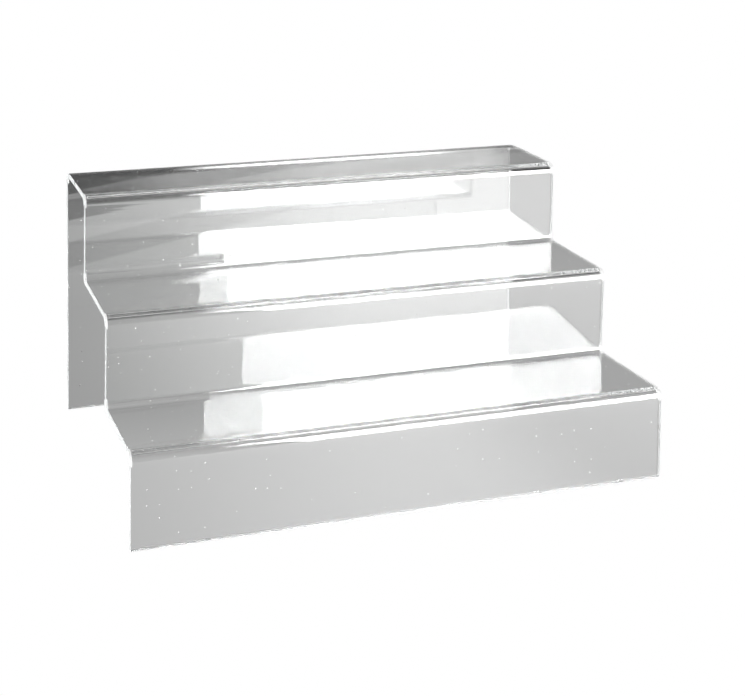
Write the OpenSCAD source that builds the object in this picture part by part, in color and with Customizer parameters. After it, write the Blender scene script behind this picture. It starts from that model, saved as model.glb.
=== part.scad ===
// Tiered shelf riser: one clear sheet, bent along straight lines into a flight of shelves.
// Millimetres. +Z is up, the front faces -Y and the shelves run along X.
// The origin is on the floor, at the centre of the footprint.

/* [Shelves] */
// Length of the shelves, along X
riser_w = 300; // [150:5:450]
// Number of shelves
tier_count = 3; // [1:1:5]
// Depth of one shelf, from its nose to the riser behind it
tier_depth = 70; // [30:1:120]
// Height from one shelf to the next, and from the floor to the first
step_h = 50; // [25:1:100]

/* [Sheet] */
// Thickness of the sheet
sheet_t = 3; // [2:0.5:5]
// Inside radius of every bend
bend_r = 3; // [1:0.5:6]

/* [Hidden] */
$fn = 96;
outer_r = bend_r + sheet_t;
front_y = -tier_count * tier_depth / 2;
rear_y = -front_y;
sheet_tint = [0.86, 0.88, 0.88, 0.5];

// Outer face of a riser, and top face of the shelf that it carries, for shelf 0 at the bottom.
function riser_y(i) = front_y + i * tier_depth;
function shelf_z(i) = (i + 1) * step_h;

// The outline modules draw the sheet's edge in a plane, with Y to the right and Z up.

// A flat stretch of sheet between two opposite corners.
module flat_run(low, high) {
  translate(low) square(high - low);
}

// A quarter turn of sheet about a centre. side is the direction of the quarter, as -1 or 1 on each axis.
module quarter_bend(centre, side) {
  translate(centre) intersection() {
    difference() {
      circle(outer_r);
      circle(bend_r);
    }
    scale(side) square(outer_r);
  }
}

// The upright part of a step, from the bend below it to the nose above it.
// The lowest one is the front apron, which ends on the floor.
module riser(i) {
  bottom = i == 0 ? 0 : shelf_z(i - 1) + bend_r;
  flat_run([riser_y(i), bottom], [riser_y(i) + sheet_t, shelf_z(i) - outer_r]);
}

module nose_bend(i) {
  quarter_bend([riser_y(i) + outer_r, shelf_z(i) - outer_r], [-1, 1]);
}

// The shelf itself. It ends at the next riser's inner bend, or at the rear bend on the highest one.
module shelf(i) {
  back = i == tier_count - 1 ? rear_y - outer_r : riser_y(i + 1) - bend_r;
  flat_run([riser_y(i) + outer_r, shelf_z(i) - sheet_t], [back, shelf_z(i)]);
}

module inner_bend(i) {
  quarter_bend([riser_y(i + 1) - bend_r, shelf_z(i) + bend_r], [1, -1]);
}

module rear_bend() {
  quarter_bend([rear_y - outer_r, shelf_z(tier_count - 1) - outer_r], [1, 1]);
}

module rear_leg() {
  flat_run([rear_y - sheet_t, 0], [rear_y, shelf_z(tier_count - 1) - outer_r]);
}

module sheet_outline() {
  for (i = [0:tier_count - 1]) {
    riser(i);
    nose_bend(i);
    shelf(i);
  }
  if (tier_count > 1)
    for (i = [0:tier_count - 2]) inner_bend(i);
  rear_bend();
  rear_leg();
}

module bent_sheet() {
  color(sheet_tint)
    rotate([90, 0, 90]) linear_extrude(riser_w, center = true) sheet_outline();
}

bent_sheet();
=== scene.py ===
import math
from collections import namedtuple

import bmesh
import bpy
from mathutils import Matrix, Vector, noise


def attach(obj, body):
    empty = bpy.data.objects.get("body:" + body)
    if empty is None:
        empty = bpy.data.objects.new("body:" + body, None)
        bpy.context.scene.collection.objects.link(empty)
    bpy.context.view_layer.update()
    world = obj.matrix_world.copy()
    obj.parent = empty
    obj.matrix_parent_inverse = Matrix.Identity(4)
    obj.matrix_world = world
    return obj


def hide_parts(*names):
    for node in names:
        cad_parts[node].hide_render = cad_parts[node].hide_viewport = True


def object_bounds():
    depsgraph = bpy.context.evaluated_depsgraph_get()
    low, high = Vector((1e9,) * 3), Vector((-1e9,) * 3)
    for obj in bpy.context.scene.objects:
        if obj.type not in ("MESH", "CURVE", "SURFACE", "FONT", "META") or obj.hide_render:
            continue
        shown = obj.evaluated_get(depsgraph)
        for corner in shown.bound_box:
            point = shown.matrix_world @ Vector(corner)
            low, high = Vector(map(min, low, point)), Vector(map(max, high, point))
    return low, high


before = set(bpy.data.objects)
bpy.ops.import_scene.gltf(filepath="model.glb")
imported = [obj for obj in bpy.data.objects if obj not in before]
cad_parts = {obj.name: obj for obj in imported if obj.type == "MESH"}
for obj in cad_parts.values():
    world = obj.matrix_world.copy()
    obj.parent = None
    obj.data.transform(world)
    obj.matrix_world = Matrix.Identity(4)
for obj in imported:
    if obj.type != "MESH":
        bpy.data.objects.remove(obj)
cad_low, cad_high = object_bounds()

MM = 0.001

# A smooth change from one value to another, between two places on the value that it follows.
# Directions are the parts of a unit vector, and places are in metres.
Fade = namedtuple("Fade", "start end before after", defaults=(0, 1))

# The sheet: the same sizes as the CAD model
TIERS = 3
SHEET_T = 3 * MM
BEND_R = 3 * MM

# Small forms that the CAD model leaves out
EDGE_ROUND = 0.35 * MM      # polished cut edges are slightly rounded
BEND_BULGE = 0.35 * MM      # the inside of a bend is squeezed out at the sheet's two ends
BULGE_REACH = 6 * MM
WAVE = 0.10 * MM            # the sheet isn't perfectly flat
WAVE_SCALE = (9, 16)        # waves per metre across the sheet and along it
WAVE_SLICE = 1.7            # where the noise that makes the waves is cut through
# A heated line also curves the sheet beside the bend: (slope in radians, reach in metres)
REAR_TAIL = (0.09, 26 * MM)
SHELF_TAIL = (0.03, 6 * MM)
RISER_TAIL = (0.015, 5 * MM)
# Bending by hand leaves each flat a little out of square, in degrees, lowest first
RISER_LEAN = (1.2, 3.2, 1.95)       # towards the front
SHELF_RISE = (0.8, -0.7, -0.65)     # towards the front
REAR_LEAN = 0.3

# Mesh density
STATION_GAP = 3.5 * MM
FEWEST_STATIONS = 8
BEND_STEPS = 20
ROUND_STEPS = 4
COLUMNS = 46
LIP = 0.4 * MM              # first and last column beside the cut edges
MERGE_GAP = 0.001 * MM      # vertices closer than this become one

# Clear acrylic
ACRYLIC_IOR = 1.49
CLEAR_TINT = (0.985, 0.99, 0.987, 1)
# Dust specks and the crazing painted in as glints share this colour and roughness
DUST_AND_GLINT_COLOUR = (0.95, 0.95, 0.95, 1)
DUST_AND_GLINT_ROUGHNESS = 0.6
DUST_SPACING = 8 * MM       # size of the cells that may hold a speck
DUST_RADIUS = 0.40 * MM     # the largest speck
DUST_SHARE = 0.45           # share of the cells that hold one
SOFT_ZONE = 20 * MM         # how far from a bend the surface keeps fine ripples
RIPPLE_SCALE = 420          # per metre
RIPPLE_STRETCH = 0.02       # ripples are drawn out along the bends
RIPPLE_DEPTH = 0.006 * MM
RIPPLE_AT_BEND = 2.5
RIPPLE_ELSEWHERE = 0.01
# White crazing at the ends of the bends, painted in as the glints that show there
GLINT_CRAZING_WIDTH = (1.3 * MM, 0.8 * MM)     # crazing starts and is full this far from a cut edge
GLINT_CRAZING_SOFTNESS = Fade(0.93, 0.99, 0, 0.7)

# Polished cut edge
EDGE_TINT = (0.94, 0.96, 0.96, 1)
SAW_MARK_SCALE = 1600       # per metre
SAW_MARK_DEPTH = 0.02 * MM
WORN_SCALE = 60             # per metre
WORN_ROUGHNESS = Fade(0.3, 0.7, 0.25, 0.5)
WORN_SCATTER = Fade(0.3, 0.7, 0.9, 1.1)
EDGE_SCATTER = Fade(0.2, 0.6, 0.05, 0.6)    # follows how squarely the surface faces sideways

# Softbox, in front of the object (-Y) and to its right (+X)
SOFTBOX_X = (0.168, 1.15)
SOFTBOX_Y = -0.90
SOFTBOX_Z = (0.06, 0.95)
SOFTBOX_STRENGTH = 24
SOFTBOX_GRID = Fade(-0.54, -0.48, 0.02, 1)

# Table, as the sheet mirrors it. It glows: its grey, bands, brighter front and sheen are painted light and
# shade
FLOOR_SIZE = 24
FLOOR_GAP = 0.4 * MM        # keeps the floor just clear of the sheet's feet
# Painted shade: the white table shows mid grey, a little lighter to the right
TABLE_PAINTED_SHADE = Fade(-0.15, 0.30, 0.34, 0.40)
TABLE_FAR_EDGE = 0.633
TABLE_EDGE_SLOPE = 0.59     # the far edge runs away to the right
# (distance in front of the far edge, brightness)
TABLE_BANDS = [(-0.20, 0.15), (-0.097, 0.60), (-0.076, 0.45), (0, 1.0), (0.07, 0.76), (0.146, 1.0)]
# Painted pool of the softbox's light: in front of this the table glows brighter
SOFTBOX_POOL_START = -0.10          # in front of this the table gets brighter
SOFTBOX_POOL_SLOPE = 2.3
SOFTBOX_POOL_LIMIT = 0.45
# A little more light towards the left and the front
UNDER_X = Fade(0.04, 0.15, 0.125, 0)
UNDER_Y = Fade(0, 0.12, 1, 0)
# Sheen: follows the direction from the table to where it is seen from
SHEEN_SIDE = Fade(-0.33, -0.12, 3.1, 0)
SHEEN_HEIGHT = Fade(0.30, 0.42, 1, 0.7)
SHEEN_END = Fade(-0.54, -0.48)

# Room, as the sheet mirrors it: everything follows the direction towards it
CEILING_START = Fade(0.36, 0.5)
# Dark ceiling with bright strips: (angle up from the front in radians, brightness)
CEILING_BANDS = [
    (0, 0.3), (0.6, 0.03), (1.0, 1.1), (1.15, 0.03), (1.7, 1.2), (1.82, 0.03), (2.2, 0.9), (2.4, 0.04),
]
STRIP_WANDER = Fade(0.3, 0.7, -0.12, 0.12)
STRIP_NOISE_SCALE = 5
STRIP_STRETCH = 0.4
FAR_WALL_SLANT = Fade(0.205, 0.235, -0.04, 0)
FAR_WALL_START = Fade(0.165, 0.215, 0.08, 0.37)
FAR_WALL_MIDDLE = Fade(0.25, 0.31, 0, 0.25)
FAR_WALL_END = Fade(0.385, 0.41, 0, -0.40)
FAR_WALL_FOOT = Fade(0.14, 0.155, 0.4, 1)
GLOW_HEIGHT = [Fade(0.14, 0.152), Fade(0.18, 0.20, 2.5, 0)]
GLOW_WIDTH = [Fade(0.20, 0.25), Fade(0.34, 0.38, 1, 0.1)]
UPPER_WALL_START = Fade(0.18, 0.32, 0.32, 0.69)
UPPER_WALL_END = Fade(0.34, 0.42, 0, -0.33)
UPPER_WALL_HEIGHT = Fade(0.24, 0.29)
FRONT_WALL = Fade(0.18, 0.45, 0.35, 1)
WALL_TOP = Fade(0.42, 0.52, 1, 0.05)
LEFT_WALL = [Fade(-0.8, -0.5, 5.4, 0), Fade(-0.97, -0.93, 0.1, 1)]
RIGHT_WALL = [Fade(0.65, 0.85, 0, 0.9), Fade(0.93, 0.97, 1, 0.3)]

WHITE = (1, 1, 1, 1)
BAND_BLUR = 0.004           # half the width of the soft join between two bands
LAST_BAND = 0.1             # how far a ramp of bands runs past the start of its last one
UNSHIFTED_FROM = 0.0001     # the lens shift is off once the camera has moved this far

# Camera: its place in widths of the object, from the middle of the front foot, and its angles in degrees
CAMERA_PLACE = (-0.98603, -2.59117, 1.20914)
CAMERA_YAW = 18.491
CAMERA_PITCH = 2.536
CAMERA_ROLL = 0.189
LENS = 76.88
SENSOR = 36
LENS_SHIFT = {"x": 0.0327, "y": -0.6007}
CLIP = (0.01, 100)

width = cad_high.x - cad_low.x
tier_depth = (cad_high.y - cad_low.y) / TIERS
step_h = (cad_high.z - cad_low.z) / TIERS
half_w = width / 2
half_t = SHEET_T / 2
mid_r = BEND_R + half_t

# A place along the sheet: a point on its middle line as (Y, Z), the normal there, +1 or -1 inside
# a bend and 0 on a flat, and how soft heating made the surface, from 0 to 1
Station = namedtuple("Station", "point normal sign soft")
# The end of a flat: the bend's sign, the gap from the corner to the bend, and the tail's form
FlatEnd = namedtuple("FlatEnd", "sign gap form")


# ---------- the sheet's shape ----------


def crossing(first, second):
    """Where two lines meet. A line is (point, direction)."""
    point, direction = first
    other_point, other_direction = second
    distance = (other_point - point).cross(other_direction) / direction.cross(other_direction)
    return point + direction * distance


def upright(y, z, lean):
    """An upright line through a point, leaning towards the front."""
    angle = math.radians(lean)
    return Vector((y, z)), Vector((-math.sin(angle), math.cos(angle)))


def shelf(y, z, rise):
    """A shelf's line through a point, rising towards the front."""
    angle = math.radians(rise)
    return Vector((y, z)), Vector((-math.cos(angle), math.sin(angle)))


def path_corners():
    """Corners of the sheet's middle line as (Y, Z), from the rear foot to the front foot."""
    floor = shelf(0, cad_low.z, 0)
    lines = [floor, upright(cad_high.y - half_t, (cad_low.z + cad_high.z) / 2, REAR_LEAN)]
    for tier in reversed(range(TIERS)):
        y = cad_low.y + tier * tier_depth + half_t
        z = cad_low.z + (tier + 1) * step_h - half_t
        lines.append(shelf(y + tier_depth / 2, z, SHELF_RISE[tier]))
        lines.append(upright(y, z - step_h / 2, RISER_LEAN[tier]))
    lines.append(floor)
    return [crossing(first, second) for first, second in zip(lines, lines[1:])]


def tail(distance, form):
    """How far a flat has sagged towards the inside of a bend, this far from where the bend starts."""
    slope, reach = form
    return slope * reach / 3 * max(0, 1 - distance / reach) ** 3


def tail_slope(distance, form):
    slope, reach = form
    return slope * max(0, 1 - distance / reach) ** 2


def face_normal(direction):
    """Normal of the face that is on top of a shelf and outside a riser."""
    return Vector((direction.y, -direction.x))


def flat(start, end, first_end, last_end):
    """Stations along a flat between two corners, closer together near its ends."""
    length = (end - start).length
    direction = (end - start).normalized()
    normal = face_normal(direction)
    first = first_end.gap
    last = length - last_end.gap
    count = max(FEWEST_STATIONS, round((last - first) / STATION_GAP))
    stations = []
    for step in range(count + 1):
        place = first + (last - first) * (0.5 - 0.5 * math.cos(math.pi * step / count))
        sag = first_end.sign * tail(place - first, first_end.form)
        sag += last_end.sign * tail(last - place, last_end.form)
        slope = last_end.sign * tail_slope(last - place, last_end.form)
        slope -= first_end.sign * tail_slope(place - first, first_end.form)
        from_start = place - first if first_end.sign else length
        from_end = last - place if last_end.sign else length
        soft = max(0, 1 - min(from_start, from_end) / SOFT_ZONE)
        point = start + direction * place - normal * sag
        stations.append(Station(point, (normal + direction * slope).normalized(), 0, soft))
    return stations


def bend(corner, before, after, sign, form_in, form_out):
    """A bend's stations, and the gaps from its corner to where it starts and ends."""
    normal_in = face_normal(before)
    normal_out = face_normal(after)
    depth_in = mid_r * math.cos(form_in[0]) + tail(0, form_in)
    depth_out = mid_r * math.cos(form_out[0]) + tail(0, form_out)
    cosine = normal_in.dot(normal_out)
    offset = (depth_in - depth_out * cosine) * normal_in + (depth_out - depth_in * cosine) * normal_out
    offset = offset * (-sign / (1 - cosine ** 2))
    gap_in = -offset.dot(before) - mid_r * math.sin(form_in[0])
    gap_out = offset.dot(after) - mid_r * math.sin(form_out[0])
    turn = math.acos(cosine)
    start = form_in[0]
    end = turn - form_out[0]
    stations = []
    for step in range(1, BEND_STEPS):
        angle = start + (end - start) * step / BEND_STEPS
        normal = (math.sin(turn - angle) * normal_in + math.sin(angle) * normal_out) / math.sin(turn)
        stations.append(Station(corner + offset + sign * mid_r * normal, normal, sign, 1))
    return stations, gap_in, gap_out


def sheet_stations():
    """Stations from the rear foot to the front foot. Uprights and shelves take turns."""
    corners = path_corners()
    directions = [(end - start).normalized() for start, end in zip(corners, corners[1:])]
    foot = FlatEnd(0, EDGE_ROUND, RISER_TAIL)
    stations = []
    before = foot
    for number, (direction, following) in enumerate(zip(directions, directions[1:])):
        own, other = (RISER_TAIL, SHELF_TAIL) if number % 2 == 0 else (SHELF_TAIL, RISER_TAIL)
        if number == 0:
            other = REAR_TAIL
        sign = round(direction.cross(following))
        turned, gap_in, gap_out = bend(corners[number + 1], direction, following, sign, own, other)
        stations += flat(corners[number], corners[number + 1], before, FlatEnd(sign, gap_in, own))
        stations += turned
        before = FlatEnd(sign, gap_out, other)
    return stations + flat(corners[-2], corners[-1], before, foot)


def section():
    """The sheet's cross-section as (x, lift, on a cut edge), clockwise from the top left."""
    inner_x = half_w - EDGE_ROUND
    inner_lift = half_t - EDGE_ROUND
    between = [-inner_x + LIP + 2 * (inner_x - LIP) * column / COLUMNS for column in range(COLUMNS + 1)]
    row = [-inner_x] + between + [inner_x]
    top = [(x, half_t, False) for x in row]
    bottom = [(x, -half_t, False) for x in reversed(row)]
    right = []
    for centre, start in ((inner_lift, 90), (-inner_lift, 0)):
        for step in range(ROUND_STEPS + 1):
            angle = math.radians(start - 90 * step / ROUND_STEPS)
            x = inner_x + EDGE_ROUND * math.cos(angle)
            right.append((x, centre + EDGE_ROUND * math.sin(angle), True))
    right = right[1:-1]
    left = [(-x, -lift, True) for x, lift, _ in right]
    return top + right + bottom + left, len(row)


def held_within(value, limit):
    return max(-limit, min(limit, value))


def add_loop(bm, outline, station, along, inset=0.0):
    """One ring of vertices round the sheet. Inset rings close the rounded feet."""
    soft_layer = bm.verts.layers.float["soft"]
    upper_layer = bm.verts.layers.float["upper"]
    ring = []
    for x, lift, _ in outline:
        near_end = max(0, 1 - (half_w - abs(x)) / BULGE_REACH)
        bulge = -station.sign * (lift / half_t) * BEND_BULGE * near_end ** 2
        wave = WAVE * noise.noise(Vector((x * WAVE_SCALE[0], along * WAVE_SCALE[1], WAVE_SLICE)))
        place = station.point + station.normal * (held_within(lift, half_t - inset) + wave)
        vert = bm.verts.new((held_within(x, half_w - inset) + math.copysign(bulge, x), place.x, place.y))
        vert[soft_layer] = station.soft
        vert[upper_layer] = 0.5 + lift / SHEET_T
        ring.append(vert)
    return ring


def foot_loops(bm, outline, station, inwards, along):
    """Rings from the flat end face of a foot to where its rounding meets the sheet's faces."""
    rings = []
    for step in range(ROUND_STEPS):
        angle = math.radians(90 * step / ROUND_STEPS)
        point = station.point - inwards * (EDGE_ROUND * math.cos(angle))
        inset = EDGE_ROUND * (1 - math.sin(angle))
        rings.append(add_loop(bm, outline, Station(point, station.normal, 0, 0), along, inset))
    return rings


def close_foot(bm, ring, row):
    """Fills the flat end face of a foot, quad by quad."""
    side = len(ring) // 2 - row
    top = ring[:row]
    right = ring[row:row + side]
    bottom = ring[row + side:2 * row + side][::-1]
    left = ring[2 * row + side:]
    faces = [bm.faces.new((a, b, d, c)) for a, b, c, d in zip(top, top[1:], bottom, bottom[1:])]
    faces.append(bm.faces.new([top[-1]] + right + [bottom[-1]]))
    faces.append(bm.faces.new([bottom[0]] + left + [top[0]]))
    for face in faces:
        face.material_index = 1
        face.smooth = True


def sheet_rings(bm, outline):
    """Rings of vertices from one foot to the other."""
    stations = sheet_stations()
    first = stations[0]
    last = stations[-1]
    rings = foot_loops(bm, outline, first, (stations[1].point - first.point).normalized(), 0)
    along = 0
    previous = first.point
    for station in stations:
        along += (station.point - previous).length
        previous = station.point
        rings.append(add_loop(bm, outline, station, along))
    rings += reversed(foot_loops(bm, outline, last, (stations[-2].point - last.point).normalized(), along))
    return rings


def sheet_mesh():
    """Lofts the cross-section along the stations into one closed sheet."""
    outline, row = section()
    bm = bmesh.new()
    bm.verts.layers.float.new("soft")
    bm.verts.layers.float.new("upper")
    rings = sheet_rings(bm, outline)
    for number, (ring, following) in enumerate(zip(rings, rings[1:])):
        at_foot = number < ROUND_STEPS or number >= len(rings) - 1 - ROUND_STEPS
        for i in range(len(outline)):
            j = (i + 1) % len(outline)
            face = bm.faces.new((ring[i], ring[j], following[j], following[i]))
            face.material_index = int(at_foot or outline[i][2] or outline[j][2])
            face.smooth = True
    close_foot(bm, rings[0], row)
    close_foot(bm, rings[-1], row)
    bmesh.ops.remove_doubles(bm, verts=bm.verts, dist=MERGE_GAP)
    bmesh.ops.recalc_face_normals(bm, faces=bm.faces)
    mesh = bpy.data.meshes.new("acrylic_sheet")
    bm.to_mesh(mesh)
    bm.free()
    return mesh


# ---------- node helpers ----------


def feed(tree, socket, value):
    """Links a socket, or sets a plain value."""
    if isinstance(value, bpy.types.NodeSocket):
        tree.links.new(value, socket)
    else:
        socket.default_value = value


def calc(tree, operation, *values):
    node = tree.nodes.new("ShaderNodeMath")
    node.operation = operation
    for socket, value in zip(node.inputs, values):
        feed(tree, socket, value)
    return node.outputs[0]


def plus(tree, total, *others):
    for value in others:
        total = calc(tree, "ADD", total, value)
    return total


def minus(tree, value, taken):
    return calc(tree, "SUBTRACT", value, taken)


def times(tree, product, *others):
    for value in others:
        product = calc(tree, "MULTIPLY", product, value)
    return product


def fade(tree, value, form):
    node = tree.nodes.new("ShaderNodeMapRange")
    node.interpolation_type = "SMOOTHSTEP"
    for socket, number in zip(node.inputs[1:5], form):
        socket.default_value = number
    feed(tree, node.inputs[0], value)
    return node.outputs[0]


def fades(tree, value, forms):
    """Several fades over the same value, multiplied."""
    return times(tree, *[fade(tree, value, form) for form in forms])


def bands(tree, value, levels):
    """A brightness for each stretch of the value, as (where it starts, brightness), softly joined."""
    low = levels[0][0]
    high = levels[-1][0] + LAST_BAND
    marks = [(low, levels[0][1])]
    for (_, before), (start, after) in zip(levels, levels[1:]):
        marks += [(start - BAND_BLUR, before), (start + BAND_BLUR, after)]
    ramp = tree.nodes.new("ShaderNodeValToRGB")
    ramp.color_ramp.interpolation = "EASE"
    while len(ramp.color_ramp.elements) < len(marks):
        ramp.color_ramp.elements.new(1.0)
    for element, (place, level) in zip(ramp.color_ramp.elements, marks):
        element.position = (place - low) / (high - low)
        element.color = (level, level, level, 1)
    node = tree.nodes.new("ShaderNodeMapRange")
    node.inputs[1].default_value = low
    node.inputs[2].default_value = high
    feed(tree, node.inputs[0], value)
    tree.links.new(node.outputs[0], ramp.inputs[0])
    return ramp.outputs[0]


def blend_number(tree, factor, low, high):
    node = tree.nodes.new("ShaderNodeMix")
    feed(tree, node.inputs[0], factor)
    feed(tree, node.inputs[2], low)
    feed(tree, node.inputs[3], high)
    return node.outputs[0]


def blend_colour(tree, factor, low, high):
    node = tree.nodes.new("ShaderNodeMix")
    node.data_type = "RGBA"
    feed(tree, node.inputs[0], factor)
    feed(tree, node.inputs[6], low)
    feed(tree, node.inputs[7], high)
    return node.outputs[2]


def split(tree, vector):
    node = tree.nodes.new("ShaderNodeSeparateXYZ")
    tree.links.new(vector, node.inputs[0])
    return node.outputs[0], node.outputs[1], node.outputs[2]


def join(tree, x, y, z):
    node = tree.nodes.new("ShaderNodeCombineXYZ")
    for socket, value in zip(node.inputs, (x, y, z)):
        feed(tree, socket, value)
    return node.outputs[0]


def noise_value(tree, vector, scale, detail):
    node = tree.nodes.new("ShaderNodeTexNoise")
    tree.links.new(vector, node.inputs["Vector"])
    node.inputs["Scale"].default_value = scale
    node.inputs["Detail"].default_value = detail
    return node.outputs[0]


def attribute(tree, name):
    node = tree.nodes.new("ShaderNodeAttribute")
    node.attribute_name = name
    return node.outputs["Fac"]


def geometry(tree, name):
    """Something about the place where a surface is hit, such as its position or normal."""
    return tree.nodes.new("ShaderNodeNewGeometry").outputs[name]


def bump(tree, height, depth):
    node = tree.nodes.new("ShaderNodeBump")
    node.inputs["Distance"].default_value = depth
    tree.links.new(height, node.inputs["Height"])
    return node.outputs[0]


def new_material(name):
    mat = bpy.data.materials.new(name)
    mat.use_nodes = True
    return mat, mat.node_tree, mat.node_tree.nodes["Principled BSDF"]


# ---------- materials ----------


def specks(tree, vector):
    """Dust: small round marks, one in some of the cells of an uneven grid."""
    node = tree.nodes.new("ShaderNodeTexVoronoi")
    node.voronoi_dimensions = "2D"
    node.inputs["Scale"].default_value = 1 / DUST_SPACING
    tree.links.new(vector, node.inputs["Vector"])
    red, green, _ = split(tree, node.outputs["Color"])
    size = times(tree, green, DUST_RADIUS / DUST_SPACING)
    inside = calc(tree, "LESS_THAN", node.outputs["Distance"], size)
    chosen = calc(tree, "LESS_THAN", red, DUST_SHARE)
    return times(tree, inside, chosen)


def glint_crazing(tree, x, soft):
    """A painted glint: fine white cracks where a bend meets a cut edge, put in to stand for the glints
    that show there.
    """
    start, full = GLINT_CRAZING_WIDTH
    near_end = fade(tree, calc(tree, "ABSOLUTE", x), Fade(half_w - start, half_w - full))
    return times(tree, near_end, fade(tree, soft, GLINT_CRAZING_SOFTNESS))


def ripples(tree, x, y, z, soft):
    """Fine ripples along the bends, which die away across the flats."""
    drawn_out = join(tree, times(tree, x, RIPPLE_STRETCH), y, z)
    near_bend = calc(tree, "POWER", soft, 3.0)
    strength = calc(tree, "MULTIPLY_ADD", near_bend, RIPPLE_AT_BEND, RIPPLE_ELSEWHERE)
    return times(tree, noise_value(tree, drawn_out, RIPPLE_SCALE, 2), strength)


def acrylic():
    """Clear sheet, with dusty specks on its outer face, and ripples at the bends; the white crazed patches
    where the bends meet the cut edges are painted glints.
    """
    mat, tree, shader = new_material("clear_acrylic")
    x, y, z = split(tree, tree.nodes.new("ShaderNodeTexCoord").outputs["Object"])
    soft = attribute(tree, "soft")
    unrolled = join(tree, x, plus(tree, y, z), 0)
    on_top = calc(tree, "GREATER_THAN", attribute(tree, "upper"), 0.5)
    dust_and_glints = times(tree, specks(tree, unrolled), on_top)
    # The crazing, painted in as glints at the bends' ends, joins the dust here
    dust_and_glints = calc(tree, "MAXIMUM", dust_and_glints, glint_crazing(tree, x, soft))
    feed(tree, shader.inputs["Base Color"], blend_colour(tree, dust_and_glints, CLEAR_TINT, DUST_AND_GLINT_COLOUR))
    feed(tree, shader.inputs["Roughness"], times(tree, dust_and_glints, DUST_AND_GLINT_ROUGHNESS))
    feed(tree, shader.inputs["Transmission Weight"], minus(tree, 1.0, dust_and_glints))
    feed(tree, shader.inputs["Normal"], bump(tree, ripples(tree, x, y, z, soft), RIPPLE_DEPTH))
    shader.inputs["IOR"].default_value = ACRYLIC_IOR
    return mat


def cut_edge():
    """Cut and polished edge: it scatters the light that the sheet carries to it."""
    mat, tree, shader = new_material("polished_cut_edge")
    place = tree.nodes.new("ShaderNodeTexCoord").outputs["Object"]
    x, y, z = split(tree, place)
    along = join(tree, x, plus(tree, y, z), 0)
    saw_marks = noise_value(tree, along, SAW_MARK_SCALE, 3)
    worn = noise_value(tree, place, WORN_SCALE, 3)
    feed(tree, shader.inputs["Roughness"], fade(tree, worn, WORN_ROUGHNESS))
    across, _, _ = split(tree, geometry(tree, "True Normal"))
    scatter = fade(tree, calc(tree, "ABSOLUTE", across), EDGE_SCATTER)
    scatter = times(tree, scatter, fade(tree, worn, WORN_SCATTER))
    feed(tree, shader.inputs["Transmission Weight"], minus(tree, 1.0, scatter))
    feed(tree, shader.inputs["Normal"], bump(tree, saw_marks, SAW_MARK_DEPTH))
    shader.inputs["Base Color"].default_value = EDGE_TINT
    shader.inputs["IOR"].default_value = ACRYLIC_IOR
    return mat


def make_sheet():
    sheet = bpy.data.objects.new("acrylic_sheet", sheet_mesh())
    bpy.context.scene.collection.objects.link(sheet)
    sheet.data.materials.append(acrylic())
    sheet.data.materials.append(cut_edge())
    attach(sheet, "root")
    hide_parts("bent_sheet")


# ---------- studio ----------


def grey(tree, value):
    return join(tree, value, value, value)


def white_to_camera(tree, value):
    """White straight to the camera, and this grey in reflections and through the sheet."""
    path = tree.nodes.new("ShaderNodeLightPath")
    return blend_colour(tree, path.outputs["Is Camera Ray"], grey(tree, value), WHITE)


def plane(name, centre, across, up, size):
    """A flat rectangle that isn't part of the object."""
    bm = bmesh.new()
    bmesh.ops.create_grid(bm, x_segments=1, y_segments=1, size=0.5)
    mesh = bpy.data.meshes.new(name)
    bm.to_mesh(mesh)
    bm.free()
    ob = bpy.data.objects.new(name, mesh)
    bpy.context.scene.collection.objects.link(ob)
    turn = Matrix((across, up, across.cross(up))).transposed().to_4x4()
    ob.matrix_world = Matrix.Translation(centre) @ turn @ Matrix.Diagonal((size[0], size[1], 1, 1))
    return ob


def front_only(tree, surface):
    """Makes a surface clear when it is seen from behind."""
    clear = tree.nodes.new("ShaderNodeBsdfTransparent")
    mix = tree.nodes.new("ShaderNodeMixShader")
    tree.links.new(geometry(tree, "Backfacing"), mix.inputs[0])
    tree.links.new(surface, mix.inputs[1])
    tree.links.new(clear.outputs[0], mix.inputs[2])
    return mix.outputs[0]


def glow(ob, name, colour, strength, one_sided):
    """Light that the surface gives off. colour is a function that adds its nodes to a tree."""
    mat = bpy.data.materials.new(name)
    mat.use_nodes = True
    tree = mat.node_tree
    tree.nodes.clear()
    emission = tree.nodes.new("ShaderNodeEmission")
    emission.inputs["Strength"].default_value = strength
    feed(tree, emission.inputs["Color"], colour(tree))
    out = tree.nodes.new("ShaderNodeOutputMaterial")
    surface = front_only(tree, emission.outputs[0]) if one_sided else emission.outputs[0]
    tree.links.new(surface, out.inputs[0])
    ob.data.materials.append(mat)


def gridded(tree):
    """A softbox with a grid: dim when seen from far round its side."""
    to_x, _, _ = split(tree, geometry(tree, "Incoming"))
    return grey(tree, fade(tree, to_x, SOFTBOX_GRID))


def softbox():
    """Seen only in the sheet: it doesn't show to the camera or light the dust and the cut edges."""
    (left, right), (low, high) = SOFTBOX_X, SOFTBOX_Z
    centre = Vector(((left + right) / 2, SOFTBOX_Y, (low + high) / 2))
    size = (right - left, high - low)
    ob = plane("front_softbox", centre, Vector((-1, 0, 0)), Vector((0, 0, 1)), size)
    ob.visible_camera = False
    ob.visible_diffuse = False
    glow(ob, "softbox_cloth", gridded, SOFTBOX_STRENGTH, True)


def softbox_sheen(tree):
    """The softbox's sheen on the table, which shows only when looking back towards the softbox."""
    to_x, to_y, to_z = split(tree, geometry(tree, "Incoming"))
    facing = calc(tree, "GREATER_THAN", to_y, 0)
    height = fade(tree, to_z, SHEEN_HEIGHT)
    return times(tree, fade(tree, to_x, SHEEN_SIDE), facing, height, fade(tree, to_x, SHEEN_END))


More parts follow.
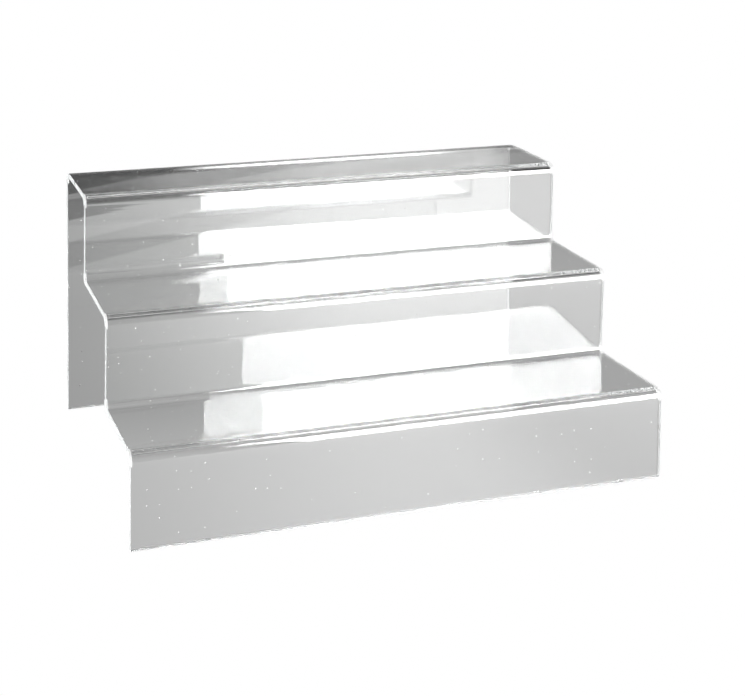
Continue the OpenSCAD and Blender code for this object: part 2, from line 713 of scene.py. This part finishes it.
def table_light(tree):
    """Painted light and shade of the table as the sheet shows it: mid grey, with a dark far edge, a
    painted pool of the softbox's light and a painted sheen in front.
    """
    x, y, _ = split(tree, geometry(tree, "Position"))
    far_edge = calc(tree, "MULTIPLY_ADD", x, TABLE_EDGE_SLOPE, TABLE_FAR_EDGE)
    plain = times(tree, fade(tree, x, TABLE_PAINTED_SHADE), bands(tree, minus(tree, far_edge, y), TABLE_BANDS))
    softbox_pool = times(tree, calc(tree, "MAXIMUM", minus(tree, SOFTBOX_POOL_START, y), 0), SOFTBOX_POOL_SLOPE)
    softbox_pool = calc(tree, "MINIMUM", softbox_pool, SOFTBOX_POOL_LIMIT)
    under = times(tree, fade(tree, x, UNDER_X), fade(tree, y, UNDER_Y))
    return white_to_camera(tree, plus(tree, plain, plus(tree, softbox_pool, under, softbox_sheen(tree))))


def table():
    """A plain pale table, white to the camera. It glows, and what the sheet shows of it is painted light
    and shade.
    """
    centre = Vector((0, 0, cad_low.z - FLOOR_GAP))
    ob = plane("floor", centre, Vector((1, 0, 0)), Vector((0, 1, 0)), (FLOOR_SIZE, FLOOR_SIZE))
    glow(ob, "pale_floor_painted_light", table_light, 1, False)


def ceiling(tree, x, y, z):
    """Dark, with bright strips that wander a little."""
    drawn_out = join(tree, times(tree, x, STRIP_STRETCH), y, z)
    wander = fade(tree, noise_value(tree, drawn_out, STRIP_NOISE_SCALE, 2), STRIP_WANDER)
    height_angle = calc(tree, "ARCTAN2", z, times(tree, y, -1.0))
    strips = bands(tree, plus(tree, height_angle, wander), CEILING_BANDS)
    return times(tree, strips, fade(tree, z, CEILING_START))


def far_wall(tree, x, z):
    """Brighter to the right, with a glowing band low down."""
    slanted = plus(tree, x, fade(tree, z, FAR_WALL_SLANT))
    wall = plus(tree, fade(tree, slanted, FAR_WALL_START), fade(tree, x, FAR_WALL_MIDDLE))
    wall = times(tree, plus(tree, wall, fade(tree, x, FAR_WALL_END)), fade(tree, z, FAR_WALL_FOOT))
    band = times(tree, fades(tree, z, GLOW_HEIGHT), fades(tree, x, GLOW_WIDTH))
    return plus(tree, wall, band)


def room():
    """White to the camera. In the sheet: dim walls, brighter ones at the sides, and a dark ceiling."""
    world = bpy.data.worlds.new("studio")
    bpy.context.scene.world = world
    world.use_nodes = True
    tree = world.node_tree
    x, y, z = split(tree, tree.nodes.new("ShaderNodeTexCoord").outputs["Generated"])
    upper_wall = plus(tree, fade(tree, x, UPPER_WALL_START), fade(tree, x, UPPER_WALL_END))
    behind = blend_number(tree, fade(tree, z, UPPER_WALL_HEIGHT), far_wall(tree, x, z), upper_wall)
    walls = blend_number(tree, calc(tree, "GREATER_THAN", y, 0), fade(tree, x, FRONT_WALL), behind)
    walls = times(tree, walls, fade(tree, z, WALL_TOP))
    sides = plus(tree, fades(tree, x, LEFT_WALL), fades(tree, x, RIGHT_WALL))
    value = plus(tree, ceiling(tree, x, y, z), walls, sides)
    feed(tree, tree.nodes["Background"].inputs["Color"], white_to_camera(tree, value))


# ---------- camera ----------


def shift_lens(cam, axis, amount):
    """A lens shift that holds only while the camera stands where it was put."""
    driver = cam.data.driver_add("shift_" + axis).driver
    place = driver.variables.new()
    place.name = "place"
    place.type = "TRANSFORMS"
    place.targets[0].id = cam
    place.targets[0].transform_type = "LOC_X"
    driver.expression = f"{amount:.5f} * (abs(place - {cam.location.x:.6f}) < {UNSHIFTED_FROM})"


def make_camera():
    data = bpy.data.cameras.new("camera")
    cam = bpy.data.objects.new("camera", data)
    bpy.context.scene.collection.objects.link(cam)
    bpy.context.scene.camera = cam
    cam.location = Vector((0, cad_low.y, cad_low.z)) + Vector(CAMERA_PLACE) * width
    yaw = Matrix.Rotation(math.radians(-CAMERA_YAW), 3, "Z")
    pitch = Matrix.Rotation(math.radians(90 - CAMERA_PITCH), 3, "X")
    roll = Matrix.Rotation(math.radians(CAMERA_ROLL), 3, "Z")
    cam.rotation_mode = "QUATERNION"
    cam.rotation_quaternion = (yaw @ pitch @ roll).to_quaternion()
    data.sensor_width = SENSOR
    data.lens = LENS
    data.clip_start, data.clip_end = CLIP
    for axis, amount in LENS_SHIFT.items():
        shift_lens(cam, axis, amount)


def picture_settings():
    """Enough bounces for light that passes many faces of the sheet."""
    scene = bpy.context.scene
    scene.view_settings.view_transform = "Standard"
    scene.cycles.max_bounces = 96
    scene.cycles.transmission_bounces = 64
    scene.cycles.glossy_bounces = 64
    scene.cycles.sample_clamp_indirect = 0
    scene.cycles.use_denoising = True
    scene.cycles.use_adaptive_sampling = False


make_sheet()
table()
softbox()
room()
make_camera()
picture_settings()
